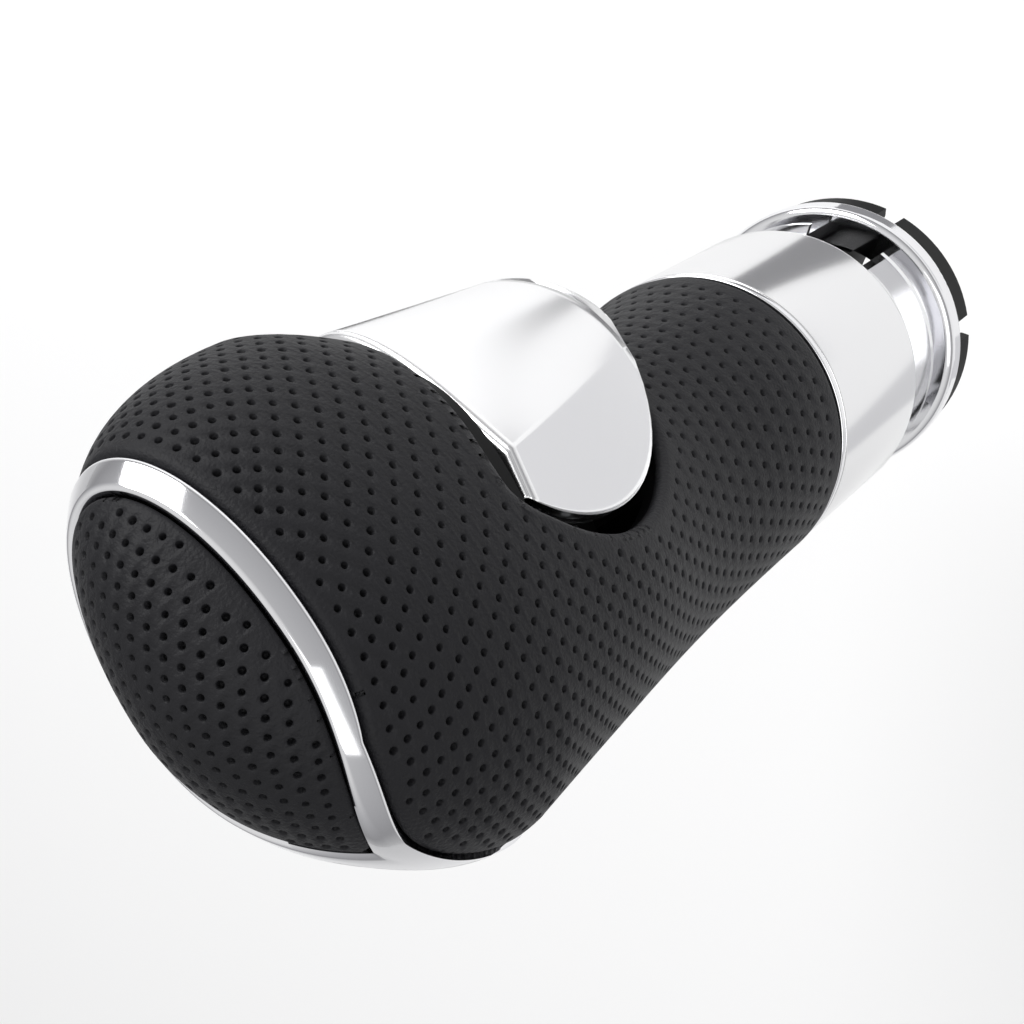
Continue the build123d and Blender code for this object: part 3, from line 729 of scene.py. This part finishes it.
def button_plan(z, column, inset):
    """Plan of one half of the button at heights: x and half width for columns from the rear to the nose.

    Columns 0 to 1 are the straight side and 1 to 2 the nose, a cubic Bezier curve from the crease.
    Low down, where the round rear edge lies ahead of the crease, all columns are on the rest of the curve.
    """
    sharp = (z - BUTTON_Z) / (CAM_Z + BUTTON_TOP - BUTTON_Z)
    half = BUTTON_HALF_WIDTH - inset
    crease = CREASE_X + (z - BUTTON_Z) * CREASE_LEAN
    nose = NOSE_X + (z - BUTTON_Z) * NOSE_LEAN - inset
    depth = np.clip(1 - ((z - REAR_CENTRE[1]) / REAR_RADIUS) ** 2, 0, 1)
    rear = REAR_CENTRE[0] - REAR_RADIUS * np.sqrt(depth)
    turn = NOSE_SHARPNESS * sharp
    first = (nose - crease) * (PULL + CREASE_PULL_GAIN * sharp)
    last = half * (PULL - NOSE_PULL_LOSS * sharp)

    def curve(t):
        """Cubic Bezier: the crease, a pull along the turned side, a pull across the nose, and the nose."""
        start = (1 - t) ** 3
        leave = 3 * t * (1 - t) ** 2
        x = start * crease + leave * (crease + first * np.cos(turn)) + t**2 * (3 - 2 * t) * nose
        y = start * half + leave * (half - first * np.sin(turn)) + 3 * t**2 * (1 - t) * last
        return x, y

    low = np.zeros(np.broadcast(z, column).shape)
    high = np.ones(low.shape)
    for _ in range(PLAN_HALVINGS):
        middle = (low + high) / 2
        short = curve(middle)[0] < rear
        low, high = np.where(short, middle, low), np.where(short, high, middle)
    ahead = rear > crease
    share = np.where(ahead, column / 2, np.clip(column - 1, 0, 1))
    x, y = curve(low + (1 - low) * share)
    straight = ~ahead & (column < 1)
    return np.where(straight, rear + column * (crease - rear), x), np.where(straight, half, y)


nose_tip = button_plan(np.array(CAM_Z), np.array(2.0), 0.0)[0]
print("button's nose is", round(float(nose_tip), 1), "mm ahead of the stem's axis")

# %% [markdown]
# The hood is a moulding with a wall of real thickness, so that its open rear has an edge.
# A path goes from the middle of the floor, round the lower edge, up the wall and over the top edge.
# The same sheet is made twice, the second set in by the wall, and both are joined round the rear.

# %% Button hood
BUTTON_WALL = 1.6
BUTTON_EDGE = 0.45
SIDE_COLUMNS = 14
SIDE_END = 0.88
NEAR_CREASE = (0.93, 0.97)
NOSE_COLUMNS = 40
NOSE_CROWD = 1.2
PLATE_STEPS = 5
EDGE_STEPS = 5
WALL_STEPS = 26
SHEET_ROUNDS = 40


def top_height(x, inset):
    """Height of the button's sloping top over a place along X."""
    return CAM_Z + (BUTTON_TOP - inset - x * math.sin(BUTTON_SLOPE)) / math.cos(BUTTON_SLOPE)


def along_path(*parts):
    """A value for each step of the path: floor plate, lower edge, wall, upper edge and top plate."""
    counts = (PLATE_STEPS - 1, EDGE_STEPS, WALL_STEPS, EDGE_STEPS, PLATE_STEPS - 1)
    values = [np.broadcast_to(np.asarray(part, float), count) for part, count in zip(parts, counts)]
    return np.concatenate(values)[:, None]


def button_sheet(inset):
    """One half of the hood as a grid: rows along the path, columns from the rear to the nose.

    Both edges are quarter rounds, so a row tucks in, lifts or drops by a sine or cosine of its turn.
    The top's height depends on x and x on the height, so both are worked out in turn until they settle.
    """
    nose = 1 + np.linspace(0, 1, NOSE_COLUMNS) ** NOSE_CROWD
    column = np.concatenate([np.linspace(0, SIDE_END, SIDE_COLUMNS), NEAR_CREASE, nose])
    turn = np.linspace(0, np.pi / 2, EDGE_STEPS)
    plate = np.linspace(0, 1, PLATE_STEPS)[:-1]
    spread = along_path(plate, 1, 1, 1, plate[::-1])
    tuck = along_path(1, 1 - np.sin(turn), 0, 1 - np.cos(turn), 1) * BUTTON_EDGE
    lift = along_path(0, 1 - np.cos(turn), 1, 1, 1) * BUTTON_EDGE
    drop = along_path(1, 1, 1, 1 - np.sin(turn), 0) * BUTTON_EDGE
    climb = along_path(0, 0, np.linspace(0, 1, WALL_STEPS), 1, 1)
    low = BUTTON_Z + inset
    z = np.full((len(spread), len(column)), low)
    for _ in range(SHEET_ROUNDS):
        x, y = button_plan(z, column[None, :], inset + tuck)
        high = top_height(x, inset)
        z = np.where(climb < 1, low + lift + climb * (high - low - lift - drop), high - drop)
    return np.stack([x, -y * spread, z], -1)


def button_shell():
    """Closed hood: outer and inner sheets of both halves, joined round the open rear."""
    sheets = []
    for inset in (0.0, BUTTON_WALL):
        half = button_sheet(inset)
        mirrored = half[:, -2::-1] * np.array([1, -1, 1])
        sheets.append(np.concatenate([half, mirrored], axis=1))
    rows, columns = sheets[0].shape[:2]
    count = rows * columns
    outer = np.array(grid_faces(rows, columns))
    left = np.arange(rows) * columns
    right = left + columns - 1
    left_rear = np.stack([left[1:], left[:-1], left[:-1] + count, left[1:] + count], 1)
    right_rear = np.stack([right[:-1], right[1:], right[1:] + count, right[:-1] + count], 1)
    faces = np.concatenate([outer, outer[:, ::-1] + count, left_rear, right_rear])
    return np.concatenate([sheet.reshape(-1, 3) for sheet in sheets]), faces.tolist()


points, faces = button_shell()
make_mesh("button_skin", points, faces, SATIN, "button", "button_chrome", ["button_cap"])

# %% [markdown]
# The collar is a polished sleeve with a rounded lower edge, and a thin bright ring parts it from the leather.
# Both are turned on a lathe, and the Screw modifier could do the same here.
# A closed profile turned about the stem's axis gives fine edges with as many steps as they need.

# %% Turned pieces
COLLAR_RADIUS = 16.0
COLLAR_WALL = 2.0
COLLAR_EDGE = 1.6
COLLAR_LOW = 20.0
COLLAR_TOP = 43.0
END_RING_THICK = 0.9
SEAM = 0.15
NECK_RADIUS = 13.75
FINE_EDGE = 0.2
ROUND_STEPS = 8
TURN_STEPS = 180


def rounded(radius, height, edge, start, end):
    """Arc of an edge's rounding in a turned profile, from one angle to another in degrees."""
    angle = np.radians(np.linspace(start, end, ROUND_STEPS))
    return np.stack([radius + edge * np.cos(angle), height + edge * np.sin(angle)], 1)


def revolve(profile, steps):
    """Points and faces of a turned profile: each radius times the cosine and sine of the turn."""
    angle = np.linspace(0, 2 * np.pi, steps, endpoint=False)[:, None]
    x, y = profile[:, 0] * np.cos(angle), profile[:, 0] * np.sin(angle)
    z = np.broadcast_to(profile[:, 1], x.shape)
    points = np.stack([x, y, z], -1).reshape(-1, 3)
    return points, grid_faces(steps, len(profile), True, True)


collar_profile = np.concatenate([
    [[COLLAR_RADIUS - COLLAR_WALL, COLLAR_LOW]],
    rounded(COLLAR_RADIUS - COLLAR_EDGE, COLLAR_LOW + COLLAR_EDGE, COLLAR_EDGE, -90, 0),
    rounded(COLLAR_RADIUS - FINE_EDGE, COLLAR_TOP - FINE_EDGE, FINE_EDGE, 0, 90),
    [[COLLAR_RADIUS - COLLAR_WALL, COLLAR_TOP]],
])
make_mesh("collar_skin", *revolve(collar_profile, TURN_STEPS), POLISHED, "grip", "collar_chrome",
          ["collar"], sharp_angle=SHARP_EDGE)
end_low = COLLAR_TOP + SEAM
end_profile = np.concatenate([
    [[NECK_RADIUS, end_low]],
    rounded(COLLAR_RADIUS - FINE_EDGE, end_low + FINE_EDGE, FINE_EDGE, -90, 0),
    rounded(COLLAR_RADIUS - FINE_EDGE, end_low + END_RING_THICK - FINE_EDGE, FINE_EDGE, 0, 90),
    [[NECK_RADIUS, end_low + END_RING_THICK]],
])
make_mesh("end_ring_skin", *revolve(end_profile, TURN_STEPS), CHROME, "grip", "end_chrome",
          ["end_ring"], sharp_angle=SHARP_EDGE)

# %% [markdown]
# The neck, the bush and the mechanism are machined or moulded pieces whose solids are already exact.
# Making them again would add nothing, so they keep their own meshes and only get their materials.

# %% Finish of the frame's own solids
FINISHES = {
    PLASTIC: ["grip_core", "pad_carrier", "lever_bush", "button_carrier"],
    CHROME: ["gaiter_neck"],
    ACETAL: ["rod_slider"],
    STEEL: ["clamp_ring", "bush_dowels", "carrier_screws", "guide_pins", "cam_pin"],
}
for material, names in FINISHES.items():
    for name in names:
        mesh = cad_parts[name].data
        mesh.materials.clear()
        mesh.materials.append(material)
print("finished", sum(len(names) for names in FINISHES.values()), "solids")

# %% [markdown]
# One spring lifts the plunger and two push the button back, each a coil of round steel wire.
# A solid spring can't shorten, so these are helices, each with a mesh of its own.

# %% Coil springs
WIRE_RADIUS = 0.3
WIRE_SIDES = 8
COIL_TURNS = 5
COIL_STEPS = 30
SLIDER_COIL = 4.2
SLIDER_SPRING_LOW = 50.05
SLIDER_SPRING_LENGTH = 13.0
BUTTON_COIL = 1.85
BUTTON_SPRING_LENGTH = 8.9
BUTTON_SPRING_BACK = 7.95
GUIDE_HALF_SPACING = 8.6
GUIDE_RISE = 3.2


def coil(origin, axis, first, radius, length):
    """Wire on a helix about an axis: rings of points lie in the plane of the axis and the coil's radius."""
    axis, first = np.array(axis, float), np.array(first, float)
    second = np.cross(axis, first)
    turn = np.linspace(0, 2 * np.pi * COIL_TURNS, COIL_TURNS * COIL_STEPS + 1)[:, None, None]
    about = np.linspace(0, 2 * np.pi, WIRE_SIDES, endpoint=False)[None, :, None]
    radial = np.cos(turn) * first + np.sin(turn) * second
    climb = WIRE_RADIUS + (length - 2 * WIRE_RADIUS) * turn / turn.max()
    centre = np.array(origin) + radial * radius + axis * climb
    rings = centre + WIRE_RADIUS * (np.cos(about) * radial + np.sin(about) * axis)
    count = rings.shape[0] * WIRE_SIDES
    ends = [list(range(WIRE_SIDES)), list(range(count - 1, count - 1 - WIRE_SIDES, -1))]
    return rings.reshape(-1, 3), grid_faces(rings.shape[0], WIRE_SIDES, False, True, flip=True) + ends


points, faces = coil((0, 0, SLIDER_SPRING_LOW), (0, 0, 1), (1, 0, 0), SLIDER_COIL, SLIDER_SPRING_LENGTH)
slider_coil = make_mesh("slider_coil", points, faces, STEEL, "grip", "slider_spring_steel",
                        ["slider_spring"])
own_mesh(slider_coil)

slide = np.array([math.cos(BUTTON_SLOPE), 0, -math.sin(BUTTON_SLOPE)])
slide_up = np.array([math.sin(BUTTON_SLOPE), 0, math.cos(BUTTON_SLOPE)])
spring_back = np.array([0, 0, CAM_Z]) - slide * BUTTON_SPRING_BACK + slide_up * GUIDE_RISE
right, left = [
    coil(spring_back + [0, y, 0], slide, (0, 1, 0), BUTTON_COIL, BUTTON_SPRING_LENGTH)
    for y in (-GUIDE_HALF_SPACING, GUIDE_HALF_SPACING)
]
points = np.concatenate([right[0], left[0]])
faces = right[1] + [[k + len(right[0]) for k in face] for face in left[1]]
button_coils = make_mesh("button_coils", points, faces, STEEL, "grip", "button_spring_steel",
                         ["button_springs"])
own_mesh(button_coils)

# %% [markdown]
# The knob is shown over pale studio paper, and chrome takes its look from what it mirrors.
# Grey bands in it could be painted, but they would be wrong from any other side.
# So cards lie just over the floor, out of the camera's sight, and only reflections see them.

# %% Floor and cards
FLOOR_Z = -60.0
FLOOR_SIZE = 4000
CARD_RISE = 1


def plane(name, size, matrix, material):
    """A square stage piece of a size in millimetres, placed by a matrix in metres."""
    half = size / 2 * MM
    corners = [(-half, -half, 0), (half, -half, 0), (half, half, 0), (-half, half, 0)]
    mesh = bpy.data.meshes.new(name)
    mesh.from_pydata(corners, [], [(0, 1, 2, 3)])
    mesh.materials.append(material)
    piece = bpy.data.objects.new(name, mesh)
    piece.matrix_world = matrix
    bpy.context.scene.collection.objects.link(piece)
    return piece


def floor_card(name, x, y, size, turn, stretch, material):
    """A card just over the floor that only mirrors see, with a turn in degrees and a length over width."""
    place = Matrix.Translation((x * MM, y * MM, (FLOOR_Z + CARD_RISE) * MM))
    matrix = place @ Matrix.Rotation(math.radians(turn), 4, "Z") @ Matrix.Diagonal((stretch, 1, 1, 1))
    card = plane(name, size, matrix, material)
    card.visible_camera = False
    card.visible_diffuse = False
    card.visible_shadow = False


# White studio paper: matt and even
PAPER, _ = surface("studio_paper", "#F4F4F4", rough=0.9, specular=0.0)
# Cards in three greys: matt, for soft-edged bands in the chrome
CARD, _ = surface("dark_card", "#8C8C8E", rough=0.9, specular=0.0)
BLACK_CARD, _ = surface("black_card", "#1C1C1E", rough=0.9, specular=0.0)
GREY_CARD, _ = surface("grey_card", "#D2D2D4", rough=0.9, specular=0.0)
plane("floor", FLOOR_SIZE, Matrix.Translation((0, 0, FLOOR_Z * MM)), PAPER)
floor_card("card_near", 10, -118, 70, 0, 1.0, GREY_CARD)
floor_card("card_front", 78, -44, 30, -30, 4.0, CARD)
floor_card("card_far", 62, 110, 70, 0, 1.6, BLACK_CARD)
floor_card("card_back", -70, -30, 22, 25, 5.0, GREY_CARD)
print("floor at", FLOOR_Z, "mm with 4 cards over it")

# %% [markdown]
# Two broad lamps stand for softboxes, one in front of the knob and a weaker one over the near side.
# The room gives most of the light. A ramp from its floor to its ceiling dims the level of the horizon,
# because a room of one brightness would leave the chrome without form.

# %% Lamps and room
HEAD = (4, 0, 95)
LAMP_SIZE = 350
STEEP = 0.98
ROOM_STRENGTH = 0.86
ROOM_SHADES = (
    (0.0, "#F0F0F0"), (0.42, "#E0E0E0"), (0.52, "#A4A4A6"),
    (0.66, "#C6C6C8"), (0.85, "#F2F2F2"), (1.0, "#FFFFFF"),
)


def facing(place, target):
    """Matrix at a place in millimetres whose Z axis points to a target."""
    place, target = np.array(place, float), np.array(target, float)
    back = (target - place) / np.linalg.norm(target - place)
    side = np.cross([0.0, 0.0, 1.0] if abs(back[2]) < STEEP else [1.0, 0.0, 0.0], back)
    side /= np.linalg.norm(side)
    matrix = np.eye(4)
    matrix[:3, 0], matrix[:3, 1], matrix[:3, 2] = side, np.cross(back, side), back
    matrix[:3, 3] = place * MM
    return Matrix(matrix.tolist())


def lamp(name, place, power):
    """A square soft lamp that shines on the head, from a place in millimetres, with a power in watts."""
    light = bpy.data.lights.new(name, "AREA")
    light.size = LAMP_SIZE * MM
    light.energy = power
    piece = bpy.data.objects.new(name, light)
    piece.matrix_world = facing(place, HEAD) @ Matrix.Rotation(math.pi, 4, "X")
    bpy.context.scene.collection.objects.link(piece)


lamp("key", (420, -120, 330), 2.2)
lamp("fill", (-200, -250, 420), 0.5)

world = bpy.data.worlds.new("room")
bpy.context.scene.world = world
world.use_nodes = True
tree = world.node_tree
sky = tree.nodes["Background"]
direction = add(tree, "ShaderNodeTexCoord")
parts = add(tree, "ShaderNodeSeparateXYZ", [(direction.outputs["Generated"], "Vector")])
level = add(tree, "ShaderNodeMapRange", [(parts.outputs["Z"], "Value")], From_Min=-1.0, From_Max=1.0)
ramp = add(tree, "ShaderNodeValToRGB", [(level.outputs["Result"], "Fac")])
while len(ramp.color_ramp.elements) < len(ROOM_SHADES):
    ramp.color_ramp.elements.new(0.5)
for element, (position, shade) in zip(ramp.color_ramp.elements, ROOM_SHADES):
    element.position = position
    element.color = colour(shade)
tree.links.new(ramp.outputs["Color"], sky.inputs["Color"])
sky.inputs["Strength"].default_value = ROOM_STRENGTH
print("room with", len(ramp.color_ramp.elements), "shades and", len(bpy.data.lights), "lamps")

# %% [markdown]
# The photograph looks down on the head from close by, with the knob lying across the frame.
# The camera was fitted to the collar, the flange and the trim, so it keeps their perspective.
# Its axes are given as they were fitted, because a camera aimed at a point would lose the roll.

# %% Camera
EYE = (3.06, -103.8, 226.7)
CAMERA_RIGHT = (-0.547, -0.682, -0.485)
CAMERA_UP = (0.837, -0.446, -0.317)
CAMERA_BACK = (0.0, -0.579, 0.815)
LENS = 70.3
SENSOR = 36.0
NEAREST = 0.01
FARTHEST = 20.0

lens = bpy.data.cameras.new("camera")
lens.lens = LENS
lens.sensor_width = SENSOR
lens.clip_start = NEAREST
lens.clip_end = FARTHEST
camera = bpy.data.objects.new("camera", lens)
axes = np.eye(4)
axes[:3, 0], axes[:3, 1], axes[:3, 2] = CAMERA_RIGHT, CAMERA_UP, CAMERA_BACK
axes[:3, 3] = np.array(EYE) * MM
camera.matrix_world = Matrix(axes.tolist()).normalized()
bpy.context.scene.collection.objects.link(camera)
bpy.context.scene.camera = camera
bpy.context.scene.view_settings.view_transform = "Standard"
print("camera with a lens of", LENS, "mm")
